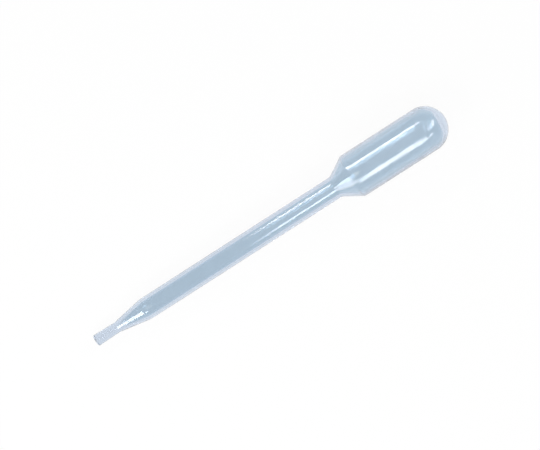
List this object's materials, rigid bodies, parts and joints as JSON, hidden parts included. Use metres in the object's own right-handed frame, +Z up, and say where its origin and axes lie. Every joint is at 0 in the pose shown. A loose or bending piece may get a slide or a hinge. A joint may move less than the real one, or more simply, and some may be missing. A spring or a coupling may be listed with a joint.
{
  "type": "dropper pipette",
  "caption": "One-piece squeeze-bulb dropper pipette: a translucent plastic bulb, a straight stem and a tapered nozzle that draws up and drops liquid.",
  "frame": {"origin": "on the ground, under the middle of the pipette as it lies", "axes": "+X from the nozzle to the bulb, +Y along the mould's parting plane, +Z up"},
  "size_m": [0.1498, 0.0168, 0.018],
  "materials": {
    "ldpe": "translucent, faintly blue, soft gloss"
  },
  "bodies": {
    "root": {"pipette": "ldpe"}
  },
  "joints": []
}
